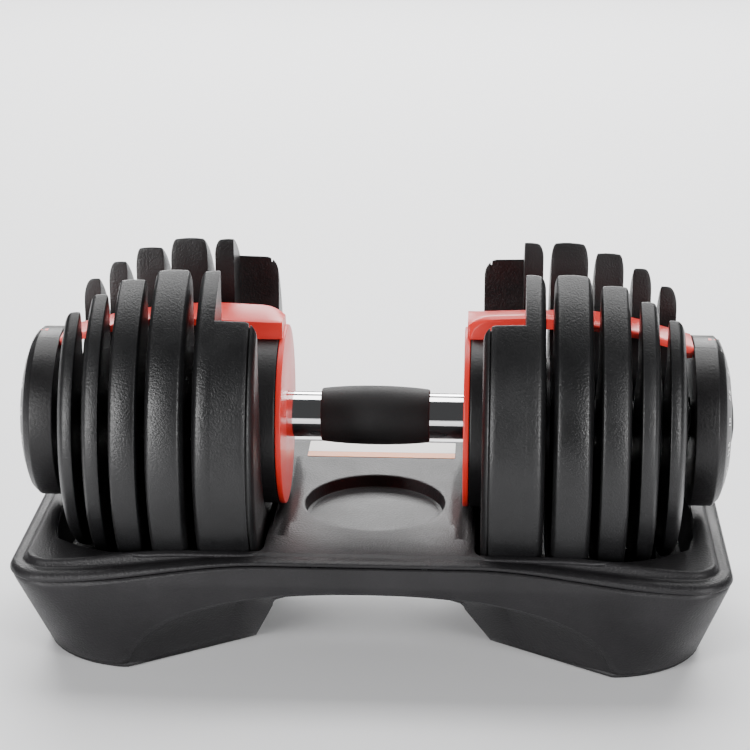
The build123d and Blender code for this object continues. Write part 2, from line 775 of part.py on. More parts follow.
at_axis = Pos(0, 0, axis_height)
write(at_axis * handle_tube(), "handle_tube")
write(at_axis * grip_sleeve(), "grip_sleeve")
write(at_axis * tie_rod(), "tie_rod")
write(both_sides([tie_rod_nut()]), "rod_nuts")
write_pair(bridge(), "bridge")
write_pair(inner_housing(), "inner_housing")
write(both_sides(housing_screws()), "housing_screws")
write_pair(end_housing(), "end_housing")
write_pair(index_block(), "index_block")
write(both_sides([detent_ball()]), "click_balls")
write(both_sides([detent_spring()]), "click_springs")
write(both_sides([lock_spring()]), "lock_springs")
write_pair(lock_slide(), "lock_slide")
write_pair(selector_shaft(), "selector_shaft")
write_pair(dial_knob(), "dial_knob")
write_pair(dial_grip(), "dial_grip")
for number in picked_up:
    write_pair(selector_disc(number), "selector_disc_" + str(number))
    write_pair(plate_core(number), "plate_core_" + str(number))
    write_pair(plate_cover(number), "plate_cover_" + str(number))
write(tray_deck(), "tray_deck")
write(tray_base(), "tray_base")
write(Compound(children=rubber_feet()), "rubber_feet")
write(Compound(children=deck_screws()), "deck_screws")
write(label(), "label")
write(both_sides([rest_comb()]), "rest_combs")
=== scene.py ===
import math

import bmesh
import bpy
from mathutils import Euler, Matrix, Vector
from mathutils.geometry import delaunay_2d_cdt


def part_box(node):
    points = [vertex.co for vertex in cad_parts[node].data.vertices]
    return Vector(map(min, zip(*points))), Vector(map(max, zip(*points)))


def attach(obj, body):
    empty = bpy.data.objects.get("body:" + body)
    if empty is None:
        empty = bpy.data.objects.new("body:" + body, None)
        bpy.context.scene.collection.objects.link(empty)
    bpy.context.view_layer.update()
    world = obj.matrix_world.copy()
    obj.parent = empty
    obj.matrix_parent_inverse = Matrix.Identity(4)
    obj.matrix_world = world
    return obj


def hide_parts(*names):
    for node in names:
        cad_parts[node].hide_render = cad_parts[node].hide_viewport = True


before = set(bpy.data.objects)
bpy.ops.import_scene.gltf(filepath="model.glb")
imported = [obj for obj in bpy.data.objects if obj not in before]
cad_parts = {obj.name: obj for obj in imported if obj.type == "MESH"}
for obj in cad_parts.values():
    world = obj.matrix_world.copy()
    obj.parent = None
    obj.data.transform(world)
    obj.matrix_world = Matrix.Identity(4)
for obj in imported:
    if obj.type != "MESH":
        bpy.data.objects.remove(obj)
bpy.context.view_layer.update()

MM = 0.001
SIDES = (("left", -1), ("right", 1))

tube_low, tube_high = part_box("handle_tube")
AXIS_Z = (tube_low.z + tube_high.z) / 2


# ---- camera, floor and light --------------------------------------------------------------------
def add_camera():
    """A long lens a little above the handle and to its right."""
    distance = 1.378
    yaw = math.radians(2.87)
    pitch = math.radians(18.48)
    target = Vector((-0.0006, 0, AXIS_Z + 0.0254))
    back = Vector((math.sin(yaw) * math.cos(pitch), -math.cos(yaw) * math.cos(pitch),
                   math.sin(pitch)))
    data = bpy.data.cameras.new("camera")
    data.lens = 110.4
    data.sensor_width = 36
    camera = bpy.data.objects.new("camera", data)
    camera.location = target + back * distance
    camera.rotation_euler = Euler((math.pi / 2 - pitch, 0, yaw))
    bpy.context.scene.collection.objects.link(camera)
    bpy.context.scene.camera = camera


def add_light(name, place, size, power, aim=(0, 0, 0.12)):
    data = bpy.data.lights.new(name, "AREA")
    data.shape = "RECTANGLE"
    data.size, data.size_y = size
    data.energy = power
    light = bpy.data.objects.new(name, data)
    light.location = place
    light.rotation_euler = (Vector(aim) - Vector(place)).to_track_quat("-Z", "Y").to_euler()
    bpy.context.scene.collection.objects.link(light)


def add_studio():
    world = bpy.data.worlds.new("studio")
    world.use_nodes = True
    background = world.node_tree.nodes["Background"]
    background.inputs["Color"].default_value = (0.95, 0.96, 0.98, 1)
    background.inputs["Strength"].default_value = 0.07
    bpy.context.scene.world = world
    bpy.ops.mesh.primitive_plane_add(size=14, location=(0, 2, 0))
    floor = bpy.context.object
    floor.name = "floor"
    floor.data.materials.append(plain_material("floor_paint", (0.90, 0.90, 0.91), 0.75))
    add_light("top_softbox", (0, 0.6, 1.6), (2.4, 0.8), 44, (0, 0.4, 0))
    add_light("left_strip", (-0.80, -1.15, 0.40), (0.12, 0.9), 22, (-0.1, 0, 0.14))
    add_light("right_strip", (0.95, -1.10, 0.40), (0.12, 0.9), 19, (0.1, 0, 0.14))
    add_light("back_softbox", (0, 2.4, 1.4), (3.0, 1.0), 130, (0, 0.9, 0))


# ---- materials ----------------------------------------------------------------------------------
def plain_material(name, color, roughness):
    material = bpy.data.materials.new(name)
    material.use_nodes = True
    shader = material.node_tree.nodes["Principled BSDF"]
    shader.inputs["Base Color"].default_value = (*color, 1)
    shader.inputs["Roughness"].default_value = roughness
    return material


def noise(tree, coordinates, scale, detail=2.0, stretch=None):
    """Noise of a feature size given in millimetres."""
    node = tree.nodes.new("ShaderNodeTexNoise")
    node.inputs["Scale"].default_value = 1000 / scale
    node.inputs["Detail"].default_value = detail
    if stretch:
        mapping = tree.nodes.new("ShaderNodeMapping")
        mapping.inputs["Scale"].default_value = stretch
        tree.links.new(coordinates, mapping.inputs["Vector"])
        coordinates = mapping.outputs["Vector"]
    tree.links.new(coordinates, node.inputs["Vector"])
    return node.outputs["Fac"]


def remap(tree, value, low, high, start=0.3, end=0.7):
    node = tree.nodes.new("ShaderNodeMapRange")
    node.inputs["From Min"].default_value = start
    node.inputs["From Max"].default_value = end
    node.inputs["To Min"].default_value = low
    node.inputs["To Max"].default_value = high
    tree.links.new(value, node.inputs["Value"])
    return node.outputs["Result"]


def mixed_color(tree, factor, first, second):
    node = tree.nodes.new("ShaderNodeMix")
    node.data_type = "RGBA"
    node.inputs["A"].default_value = (*first, 1)
    node.inputs["B"].default_value = (*second, 1)
    tree.links.new(factor, node.inputs["Factor"])
    return node.outputs["Result"]


def bump(tree, height, depth):
    """Bump of a depth in millimetres."""
    node = tree.nodes.new("ShaderNodeBump")
    node.inputs["Strength"].default_value = 1.0
    node.inputs["Distance"].default_value = depth * MM
    tree.links.new(height, node.inputs["Height"])
    return node.outputs["Normal"]


def moulded(name, color, rough, grain, depth, tint=0.25, specular=0.5, metallic=0.0):
    """Moulded or cast surface: fine grain, slow mottling of colour and gloss, painted highlight on
    edges.

    rough is (glossiest, dullest); grain and depth are the size and height of the grain in mm.
    """
    material = bpy.data.materials.new(name)
    material.use_nodes = True
    tree = material.node_tree
    shader = tree.nodes["Principled BSDF"]
    place = tree.nodes.new("ShaderNodeTexCoord").outputs["Object"]
    mottle = noise(tree, place, 42, 4)
    fine = noise(tree, place, grain, 3)
    dark = tuple(c * (1 - tint) for c in color)
    light = tuple(min(c * (1 + tint) + 0.002, 1) for c in color)
    body = mixed_color(tree, remap(tree, mottle, 0, 1), dark, light)
    # painted highlight: convex edges (pointiness) are painted paler, standing in for edge highlights
    edge = tree.nodes.new("ShaderNodeNewGeometry").outputs["Pointiness"]
    edge_highlight_paint = tree.nodes.new("ShaderNodeMix")
    edge_highlight_paint.data_type = "RGBA"
    tree.links.new(remap(tree, edge, 0, 0.5, 0.53, 0.62), edge_highlight_paint.inputs["Factor"])
    tree.links.new(body, edge_highlight_paint.inputs["A"])
    edge_highlight_paint.inputs["B"].default_value = (*(min(c * 1.7 + 0.012, 1) for c in color), 1)
    tree.links.new(edge_highlight_paint.outputs["Result"], shader.inputs["Base Color"])
    gloss = tree.nodes.new("ShaderNodeMath")
    gloss.operation = "ADD"
    tree.links.new(remap(tree, mottle, rough[0], rough[1]), gloss.inputs[0])
    tree.links.new(remap(tree, fine, -0.04, 0.04), gloss.inputs[1])
    tree.links.new(gloss.outputs["Value"], shader.inputs["Roughness"])
    shader.inputs["Specular IOR Level"].default_value = specular
    shader.inputs["Metallic"].default_value = metallic
    tree.links.new(bump(tree, fine, depth), shader.inputs["Normal"])
    return material


def brushed(name, color, rough, stretch):
    """Metal with a fine directional finish and slight smudges."""
    material = bpy.data.materials.new(name)
    material.use_nodes = True
    tree = material.node_tree
    shader = tree.nodes["Principled BSDF"]
    shader.inputs["Base Color"].default_value = (*color, 1)
    shader.inputs["Metallic"].default_value = 1.0
    place = tree.nodes.new("ShaderNodeTexCoord").outputs["Object"]
    smudge = noise(tree, place, 18, 5)
    tree.links.new(remap(tree, smudge, rough[0], rough[1]), shader.inputs["Roughness"])
    hairline = noise(tree, place, 0.7, 2, stretch)
    tree.links.new(bump(tree, hairline, 0.004), shader.inputs["Normal"])
    return material


def make_materials():
    """Every material, by the key that finish_piece and NODE_MATERIALS use."""
    black = (0.0065, 0.0060, 0.0066)
    tray = (0.0100, 0.0094, 0.0104)
    steel_core = (0.06, 0.06, 0.062)
    return {
        "plate": moulded("plate_cover", (0.0055, 0.0055, 0.0060), (0.32, 0.44), 1.15, 0.24,
                         specular=0.40),
        "housing": moulded("housing_black", black, (0.36, 0.46), 1.5, 0.16, specular=0.30),
        "dial": moulded("dial_black", (0.0065, 0.0065, 0.007), (0.30, 0.40), 1.2, 0.07,
                        specular=0.36),
        "tray": moulded("tray_black", tray, (0.40, 0.52), 1.25, 0.34, 0.2, specular=0.30),
        "red": moulded("red_plastic", (0.70, 0.030, 0.022), (0.30, 0.40), 0.6, 0.01, 0.06,
                       specular=0.35),
        "rubber": moulded("grip_rubber", (0.0060, 0.0060, 0.0063), (0.55, 0.70), 1.3, 0.10, 0.3,
                          specular=0.25),
        "foot": moulded("foot_rubber", (0.010, 0.010, 0.010), (0.7, 0.85), 0.6, 0.05, 0.3,
                        specular=0.3),
        "disc": moulded("disc_nylon", (0.030, 0.030, 0.032), (0.4, 0.5), 0.6, 0.02),
        "core": moulded("plate_steel", steel_core, (0.45, 0.6), 0.8, 0.04, 0.3, metallic=0.6),
        "chrome": brushed("chrome_tube", (0.86, 0.86, 0.87), (0.03, 0.08), (0.05, 1, 1)),
        "steel": brushed("steel", (0.5, 0.5, 0.51), (0.22, 0.38), (1, 0.08, 1)),
        "white": moulded("label_vinyl", (0.74, 0.72, 0.69), (0.38, 0.46), 1.2, 0.01, 0.03),
        "orange": moulded("label_orange", (0.80, 0.22, 0.035), (0.38, 0.46), 1.2, 0.01, 0.05),
        "number": moulded("number_paint", (0.72, 0.72, 0.70), (0.42, 0.5), 0.5, 0.01, 0.04),
        "pointer": moulded("pointer_paint", (0.72, 0.050, 0.035), (0.36, 0.42), 0.5, 0.01, 0.05),
    }


# ---- mesh helpers -------------------------------------------------------------------------------
def new_mesh(name, points, faces, sharp=35, fix_normals=True):
    """Mesh piece in metres, smooth except across edges sharper than the angle given."""
    mesh = bpy.data.meshes.new(name)
    mesh.from_pydata([tuple(p) for p in points], [], faces)
    build = bmesh.new()
    build.from_mesh(mesh)
    bmesh.ops.remove_doubles(build, verts=build.verts, dist=2e-6)
    if fix_normals:
        bmesh.ops.recalc_face_normals(build, faces=build.faces)
    build.to_mesh(mesh)
    build.free()
    mesh.polygons.foreach_set("use_smooth", [True] * len(mesh.polygons))
    mesh.set_sharp_from_angle(angle=math.radians(sharp))
    piece = bpy.data.objects.new(name, mesh)
    bpy.context.scene.collection.objects.link(piece)
    return piece


def bevel(piece, width, segments=3, angle=35):
    """Rounds the piece's sharp edges; width in mm."""
    modifier = piece.modifiers.new("rounded_edges", "BEVEL")
    modifier.width = width * MM
    modifier.segments = segments
    modifier.limit_method = "ANGLE"
    modifier.angle_limit = math.radians(angle)
    modifier.harden_normals = True
    modifier.use_clamp_overlap = True
    return piece


def finish_piece(piece, material, body, nodes):
    piece.data.materials.append(MATERIALS[material])
    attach(piece, body)
    if nodes:
        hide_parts(*nodes)
    return piece


def strip_faces(start, end, count, closed=True):
    """Quads between two rings of points, given by their first indices."""
    last = count if closed else count - 1
    return [(start + i, start + (i + 1) % count, end + (i + 1) % count, end + i)
            for i in range(last)]


def skin(rings, cap=True):
    """Points and faces through rings of equal length, with flat ends."""
    count = len(rings[0])
    points = [p for ring in rings for p in ring]
    faces = []
    for n in range(len(rings) - 1):
        faces += strip_faces(n * count, (n + 1) * count, count)
    if cap:
        faces.append(tuple(range(count)))
        faces.append(tuple(range((len(rings) - 1) * count, len(rings) * count)))
    return points, faces


def axial(x, y, z, sign):
    """A point given from the handle axis, in mm, on the right or the left side."""
    return Vector((sign * x * MM, y * MM, AXIS_Z + z * MM))


def turned(name, profile, sign=1, segments=128, closed=False, sharp=35):
    """Body turned about the handle axis; profile is (x, radius) in mm. closed makes a ring."""
    rings = []
    for x, radius in profile:
        ring = []
        for n in range(segments):
            angle = 2 * math.pi * n / segments
            ring.append(axial(x, radius * math.sin(angle), radius * math.cos(angle), sign))
        rings.append(ring)
    points, faces = skin(rings, cap=not closed)
    if closed:
        faces += strip_faces((len(rings) - 1) * segments, 0, segments)
    return new_mesh(name, points, faces, sharp)


def rounded_outline(corners, radius, steps=4):
    """Closed outline whose corners are rounded by small arcs."""
    result = []
    count = len(corners)
    for n, corner in enumerate(corners):
        corner = Vector(corner)
        before = Vector(corners[n - 1]) - corner
        after = Vector(corners[(n + 1) % count]) - corner
        reach = min(radius, before.length * 0.45, after.length * 0.45)
        start = corner + before.normalized() * reach
        end = corner + after.normalized() * reach
        for step in range(steps + 1):
            t = step / steps
            result.append((1 - t) ** 2 * start + 2 * t * (1 - t) * corner + t * t * end)
    return result


def rounded_path(corners, radius, steps=5):
    """Open path whose inner corners are rounded; its first and last points stay."""
    result = [tuple(corners[0])]
    for before, corner, after in zip(corners, corners[1:], corners[2:]):
        here = Vector(corner)
        back, forward = Vector(before) - here, Vector(after) - here
        reach = min(radius, back.length * 0.45, forward.length * 0.45)
        start, end = here + back.normalized() * reach, here + forward.normalized() * reach
        for step in range(steps + 1):
            t = step / steps
            result.append(tuple((1 - t) ** 2 * start + 2 * t * (1 - t) * here + t * t * end))
    return result + [tuple(corners[-1])]


def smooth_step(value, low, high):
    share = min(max((value - low) / (high - low), 0), 1)
    return share * share * (3 - 2 * share)


# ---- plates -------------------------------------------------------------------------------------
# in mm: inner face x, outer face x, radius, start and end of the rim, inner and outer shoulder drop
PLATES = {
    1: (87.5, 99.5, 105.3, 88.0, 95.2, 0.0, 9.0),
    2: (104.2, 126.4, 105.6, 107.0, 122.6, 9.0, 13.0),
    3: (130.8, 147.8, 99.8, 132.2, 144.8, 6.0, 12.0),
    4: (153.5, 164.7, 91.2, 154.4, 160.4, 5.0, 12.0),
    5: (170.2, 180.4, 81.2, 170.9, 174.9, 4.0, 12.0),
}
NOTCH_HALF, NOTCH_FLOOR, NOTCH_THROAT, SLOT = 34.4, 44.0, 20.0, 12.5
HORN_RADIUS = 2.0
CUP_X, CUP_EDGE, GROOVE_X = 64.0, 8.0, 67.5
CUP_NOTCH_HALF, CUP_NOTCH_FLOOR, CUP_BORE = 68.3, 55.0, 60.0


def notch_wall(steps=10):
    """Notch from its left wall down to the slot and up its right wall, without its top ends."""
    left = rounded_path([(-NOTCH_HALF, NOTCH_FLOOR + 9), (-NOTCH_HALF, NOTCH_FLOOR),
                         (-SLOT, NOTCH_THROAT), (-SLOT, 4)], 5.0)
    bottom = [(-SLOT * math.cos(math.pi * n / steps), -SLOT * math.sin(math.pi * n / steps))
              for n in range(steps + 1)]
    return left + bottom + [(-y, z) for y, z in reversed(left)]


def cup_wall(steps=28):
    """The same for the cup: a wide notch that ends in a round bore."""
    left = rounded_path([(-CUP_NOTCH_HALF, CUP_NOTCH_FLOOR + 8), (-CUP_NOTCH_HALF, CUP_NOTCH_FLOOR),
                         (-CUP_BORE, 3)], 4.0)
    bottom = [(-CUP_BORE * math.cos(math.pi * n / steps), -CUP_BORE * math.sin(math.pi * n / steps))
              for n in range(steps + 1)]
    return left + bottom + [(-y, z) for y, z in reversed(left)]


def notched_ring(x, radius, half_width, wall, sign, segments=168):
    """One closed loop at x: round the rim from horn to horn, then down and up the notch."""
    tip = math.sqrt(radius ** 2 - half_width ** 2)
    start = math.asin(half_width / radius) + HORN_RADIUS / radius
    loop = []
    for n in range(segments + 1):
        angle = start + (2 * math.pi - 2 * start) * n / segments
        loop.append((radius * math.sin(angle), radius * math.cos(angle)))
    corner = []
    for n in range(1, 7):
        t = n / 6
        start_share, middle_share, end_share = (1 - t) ** 2, 2 * t * (1 - t), t * t
        y = start_share * loop[0][0] + middle_share * half_width + end_share * half_width
        z = start_share * loop[0][1] + middle_share * tip + end_share * (tip - HORN_RADIUS)
        corner.append((y, z))
    loop += [(-y, z) for y, z in corner] + wall + corner[::-1]
    return [axial(x, y, z, sign) for y, z in loop]


def quarter(start, end, steps):
    """Quarter of an ellipse in x and radius: leaves start along the radius, reaches end along x."""
    result = []
    for n in range(steps + 1):
        angle = math.pi / 2 * n / steps
        result.append((start[0] + (end[0] - start[0]) * (1 - math.cos(angle)),
                       start[1] + (end[1] - start[1]) * math.sin(angle)))
    return result


def crowned(start, end, radius, crown, steps=8):
    """Rim that bulges slightly, most at two fifths of its width."""
    points = []
    for n in range(steps + 1):
        t = n / steps
        points.append((start + (end - start) * t, radius - crown * ((t - 0.4) / 0.6) ** 2))
    return points


def plate_profile(number):
    x_in, x_out, radius, flat_start, flat_end, inner_drop, outer_drop = PLATES[number]
    rim = crowned(flat_start, flat_end, radius, 0.05 * (flat_end - flat_start))
    profile = []
    if inner_drop:
        profile = quarter((x_in, radius - inner_drop), rim[0], 7)[:-1]
    outer = quarter((x_out, radius - outer_drop), rim[-1], 9)
    return profile + rim + outer[::-1][1:]


def notched_body(name, profile, half_width, wall, sign, width):
    """Notched drum through (x, radius) stations, with its edges rounded."""
    rings = [notched_ring(x, r, half_width, wall, sign) for x, r in profile]
    return bevel(new_mesh(name, *skin(rings)), width, 3, 30)


def build_plate(side, sign, number):
    """One plate's cover; plate 1 also gets the deep cup with its grooved lip, towards the hand."""
    name = "%s_plate_%d" % (side, number)
    profile = plate_profile(number)
    piece = notched_body(name + "_cover", profile, NOTCH_HALF, notch_wall(), sign, 0.9)
    finish_piece(piece, "plate", name, ["%s_plate_cover_%d" % (side, number)])
    if number == 1:
        radius = PLATES[1][2]
        edge = quarter((CUP_X, radius - CUP_EDGE), (CUP_X + CUP_EDGE, radius - 0.3), 12)
        before = [p for p in edge if p[0] < GROOVE_X]
        after = [p for p in edge if p[0] > GROOVE_X + 1.2]
        depth = before[-1][1] - 0.9
        groove = [(GROOVE_X + 0.1, before[-1][1] + 0.1), (GROOVE_X + 0.3, depth),
                  (GROOVE_X + 0.9, depth), (GROOVE_X + 1.1, after[0][1] - 0.1)]
        edge_end = CUP_X + CUP_EDGE
        rim_length = PLATES[1][0] + 0.6 - CUP_X - CUP_EDGE
        rim = [(edge_end + rim_length * n / 5, radius - 0.3 * (1 - n / 5)) for n in range(1, 6)]
        cup = notched_body(name + "_cup", before + groove + after + rim, CUP_NOTCH_HALF,
                           cup_wall(), sign, 0.5)
        finish_piece(cup, "plate", name, [])


# ---- cradle -------------------------------------------------------------------------------------
# half sizes, corner radii and heights in mm
DECK_LENGTH, DECK_WIDTH, DECK_CORNER = 209.5, 103.0, 24.0
BASE_LENGTH, BASE_WIDTH = DECK_LENGTH - 0.4, DECK_WIDTH - 0.4
FOOT_LENGTH, FOOT_WIDTH, FOOT_CORNER, FLARE_TOP = 197.0, 84.5, 60.0, 62.0
ARCH_LENGTH, ARCH_HEIGHT, FLOOR_GAP = 142.0, 57.5, 1.0
LEG_X, LEG_Y, CROWN_X = 71.0, 36.5, 47.0
LEG_TOP_X, LEG_RISE, KNEE_Z = 52, 53, 44
BASE_WALL, DECK_WALL = 2.6, 2.2
SCOOP_X, SCOOP_EDGE, SCOOP_CENTRE, SCOOP_RADIUS = 47.3, 5.4, 655, 576
POCKET_Y, POCKET_HALF_X, POCKET_HALF_Y, SADDLE_Z = -10.0, 42.0, 45.0, 79.0
AXIS_MM = AXIS_Z / MM
# x and radius about the handle axis of the well's wall, in mm
WELL = [(61, 97.5), (62.0, 101.3), (63.6, 103.6), (65.3, 105.8), (67.5, 107.2), (70.5, 107.5),
        (74, 107.4), (128.4, 107.6), (150.8, 101.8), (168.7, 93.2), (185.4, 83.2), (188.8, 72.0),
        (191.4, 60)]


def profile_z(x, centre, end, level, reach):
    """Level in the middle, falling in an S-curve to the ends."""
    return centre + (end - centre) * smooth_step(abs(x), level, reach)


def seam_z(x):
    return profile_z(x, 74.2, 61.6, 60, 184)


def rim_z(x):
    return profile_z(x, 78.0, 68.0, 60, 184)


def panel_z(x):
    return profile_z(x, SADDLE_Z, 72.4, 108, 186)


def deck_z(x, y):
    """Height of the deck's panel, with the shallow scoop under each red flange."""
    height = panel_z(x)
    if abs(x) > SCOOP_X:
        share = min((abs(x) - SCOOP_X) / SCOOP_EDGE, 1)
        height = min(height, SCOOP_CENTRE - math.sqrt((SCOOP_RADIUS + 4 * share) ** 2 - y * y))
    return height


def oblong(half_length, half_width, corner, front=72, turn=14, side=26):
    """Rounded oblong from the middle of the front, its points in the same order at every size."""
    points = []
    straight_x, straight_y = half_length - corner, half_width - corner
    for n in range(front // 2 + 1):
        points.append((straight_x * 2 * n / front, -half_width))
    for n in range(1, turn + 1):
        angle = math.pi / 2 * n / turn
        points.append((straight_x + corner * math.sin(angle),
                       -straight_y - corner * math.cos(angle)))
    for n in range(1, side // 2 + 1):
        points.append((half_length, -straight_y * (1 - 2 * n / side)))
    quarter_count = len(points)
    points += [(x, -y) for x, y in points[:quarter_count - 1][::-1]]
    half_count = len(points)
    points += [(-x, y) for x, y in points[1:half_count - 1][::-1]]
    return points


def floor_point(x, y, z):
    return Vector((x * MM, y * MM, z * MM))


def base_plan(height):
    share = min(max(height / FLARE_TOP, 0), 1)
    return oblong(FOOT_LENGTH + (BASE_LENGTH - FOOT_LENGTH) * share,
                  FOOT_WIDTH + (BASE_WIDTH - FOOT_WIDTH) * share,
                  FOOT_CORNER + (DECK_CORNER - FOOT_CORNER) * share)


def arch_z(x):
    share = min(abs(x) / ARCH_LENGTH, 1)
    return max(ARCH_HEIGHT * math.sqrt(1 - share ** 2.3), FLOOR_GAP)


def side_x(z):
    """Inner side of a leg, curving into the ceiling of the opening."""
    straight = LEG_X - (LEG_X - LEG_TOP_X) * (z - FLOOR_GAP) / LEG_RISE
    if z > KNEE_Z:
        share = min((z - KNEE_Z) / (arch_z(CROWN_X) - KNEE_Z), 1)
        knee = LEG_X - (LEG_X - LEG_TOP_X) * (KNEE_Z - 1) / LEG_RISE
        straight = knee - (knee - CROWN_X) * (1 - math.sqrt(1 - share ** 1.7))
    return straight


def build_base():
    """Skirt, scooped arches, opening under the middle and the four legs."""
    plan_step = 1.25
    plans = [base_plan(FLOOR_GAP + plan_step * n) for n in range(61)]
    count = len(plans[0])

    def at(column, z):
        place = (z - FLOOR_GAP) / plan_step
        n = min(int(place), len(plans) - 2)
        (x0, y0), (x1, y1) = plans[n][column], plans[n + 1][column]
        t = place - n
        return x0 + (x1 - x0) * t, y0 + (y1 - y0) * t

    rows = 16
    points, faces = [], []
    for column in range(count):
        low, high = FLOOR_GAP, 70.0
        if on_long_side(plans[-1][column]):
            for _ in range(30):
                middle = (low + high) / 2
                if middle < arch_z(at(column, middle)[0]):
                    low = middle
                else:
                    high = middle
        bottom = low
        top = seam_z(at(column, FLARE_TOP)[0])
        for row in range(rows + 1):
            z = bottom + (top - bottom) * row / rows
            x, y = at(column, z)
            inset = 1.1 * max(0, 1 - row / 0.9) + 0.6 * max(0, 1 - (rows - row) / 0.9)
            points.append(floor_point(x * (1 - inset / 400), y * (1 - inset / 100), z))
    for column in range(count):
        following = (column + 1) % count
        for row in range(rows):
            a, b = column * (rows + 1) + row, following * (rows + 1) + row
            faces.append((a, b, b + 1, a + 1))
    skirt_faces = len(faces)
    # scoops in front of and behind the legs
    steps = 14
    for flip_x in (-1, 1):
        for flip_y in (-1, 1):
            columns = [c for c in range(count)
                       if points[c * (rows + 1)].x * flip_x > (CROWN_X - 0.01) * MM
                       and points[c * (rows + 1)].y * flip_y > 0
                       and points[c * (rows + 1)].x * flip_x < (ARCH_LENGTH + 1) * MM
                       and on_long_side(plans[-1][c])]
            columns.sort(key=lambda c: points[c * (rows + 1)].x * flip_x)
            start = len(points)
            last = len(columns)
            crown_z = arch_z(CROWN_X)
            edge_y = base_width_at(crown_z)
            for n in range(last + 1):
                if n == 0:
                    upper = floor_point(flip_x * CROWN_X, flip_y * edge_y, crown_z)
                else:
                    upper = points[columns[n - 1] * (rows + 1)]
                share = (abs(upper.x) / MM - CROWN_X) / (ARCH_LENGTH - CROWN_X)
                foot_x = LEG_X + (ARCH_LENGTH + 0.6 - LEG_X) * min(share, 1)
                foot_y = LEG_Y + (FOOT_WIDTH - 0.2 - LEG_Y) * min(share, 1)
                lower = floor_point(flip_x * foot_x, flip_y * foot_y, FLOOR_GAP)
                for step in range(steps + 1):
                    v = step / steps
                    control = Vector(((upper.x + lower.x) / 2, upper.y + (lower.y - upper.y) * 0.8,
                                      upper.z + (lower.z - upper.z) * 0.06))
                    bend = min(share * 4, 1)
                    curve = upper.lerp(control, v).lerp(control.lerp(lower, v), v)
                    straight = upper.lerp(lower, v).lerp(curve, bend)
                    z = crown_z + (FLOOR_GAP - crown_z) * v
                    corner = floor_point(flip_x * CROWN_X, flip_y * edge_y, crown_z).lerp(
                        floor_point(flip_x * LEG_X, flip_y * LEG_Y, FLOOR_GAP), v)
                    curved_y = edge_y + (LEG_Y - edge_y) * v
                    curved = floor_point(flip_x * side_x(z), flip_y * curved_y, z)
                    points.append(straight + (curved - corner) * (1 - share) ** 3)
            for n in range(last):
                for step in range(steps):
                    a, b = start + n * (steps + 1) + step, start + (n + 1) * (steps + 1) + step
                    faces.append((a, a + 1, b + 1, b))
        # inner side of the leg, ceiling strip and the leg's sole
        start = len(points)
        for step in range(steps + 1):
            v = step / steps
            z = crown_z + (FLOOR_GAP - crown_z) * v
            y = edge_y + (LEG_Y - edge_y) * v
            for n in range(9):
                points.append(floor_point(flip_x * side_x(z), y * (n / 4 - 1), z))
        for step in range(steps):
            for n in range(8):
                a = start + step * 9 + n
                faces.append((a, a + 1, a + 10, a + 9))
    build_soles(points, faces, plans[0])
    build_ceiling(points, faces)
    faces = [outward(points, face, n < skirt_faces) for n, face in enumerate(faces)]
    piece = new_mesh("cradle_base", points, faces, 13, fix_normals=False)
    thick = piece.modifiers.new("wall", "SOLIDIFY")
    thick.thickness = BASE_WALL * MM
    thick.offset = -1
    finish_piece(piece, "tray", "tray", ["tray_base"])


def outward(points, face, is_skirt):
    """The face wound so that it looks out of the skirt, or down and away from a leg's middle."""
    corners = [points[n] for n in face]
    middle = sum(corners, Vector()) / len(corners)
    normal = Vector()
    for a, b in zip(corners, corners[1:] + corners[:1]):
        normal += a.cross(b)
    if is_skirt:
        away = Vector((middle.x * 0.3, middle.y, 0))
    else:
        leg_middle = 0.1 * (1 if middle.x > 0 else -1)
        away = Vector((0.05 * (leg_middle - middle.x), 0.2 * middle.y, -0.02))
    return face if normal.dot(away) > 0 else face[::-1]


def on_long_side(spot):
    """Whether a plan point lies on the straight front or back of the base."""
    return abs(abs(spot[1]) - BASE_WIDTH) < 0.01


def base_width_at(z):
    return FOOT_WIDTH + (BASE_WIDTH - FOOT_WIDTH) * min(z / FLARE_TOP, 1)


def build_soles(points, faces, plan):
    """Flat underside of each pair of legs, between the scoops."""
    for flip_x in (-1, 1):
        ring = [floor_point(flip_x * LEG_X, -LEG_Y, FLOOR_GAP)]
        outer = [floor_point(abs(x) * flip_x, y, FLOOR_GAP) for x, y in plan
                 if x * flip_x > 0 and (abs(y) < FOOT_WIDTH - 0.01 or abs(x) >= ARCH_LENGTH)]
        outer.sort(key=lambda p: math.atan2(p.y, abs(p.x) - 0.12))
        ring.append(floor_point(flip_x * ARCH_LENGTH, -FOOT_WIDTH + 0.2, FLOOR_GAP))
        ring += outer
        ring.append(floor_point(flip_x * ARCH_LENGTH, FOOT_WIDTH - 0.2, FLOOR_GAP))
        ring.append(floor_point(flip_x * LEG_X, LEG_Y, FLOOR_GAP))
        start = len(points)
        points += ring
        faces.append(tuple(range(start, start + len(ring))))


def build_ceiling(points, faces):
    """Underside between the legs, from front to back."""
    start = len(points)
    across, along = 24, 8
    for n in range(across + 1):
        x = CROWN_X * (2 * n / across - 1)
        edge = base_width_at(arch_z(x))
        for m in range(along + 1):
            points.append(floor_point(x, edge * (2 * m / along - 1), arch_z(x)))
    for n in range(across):
        for m in range(along):
            a = start + n * (along + 1) + m
            faces.append((a, a + 1, a + along + 2, a + along + 1))


def well_radius(x):
    for (x0, r0), (x1, r1) in zip(WELL, WELL[1:]):
        if x0 <= x <= x1:
            return r0 + (r1 - r0) * (x - x0) / (x1 - x0)
    return WELL[0][1] if x < WELL[0][0] else WELL[-1][1]


def well_edge(x):
    """Half width of the well where it meets the deck."""
    drop = AXIS_MM - panel_z(x)
    return math.sqrt(max(well_radius(x) ** 2 - drop ** 2, 0))


def well_stations():
    xs = [x for x, _ in WELL]
    xs += [76 + 4.0 * n for n in range(28)]
    return sorted(set(round(x, 2) for x in xs if x <= WELL[-1][0]))


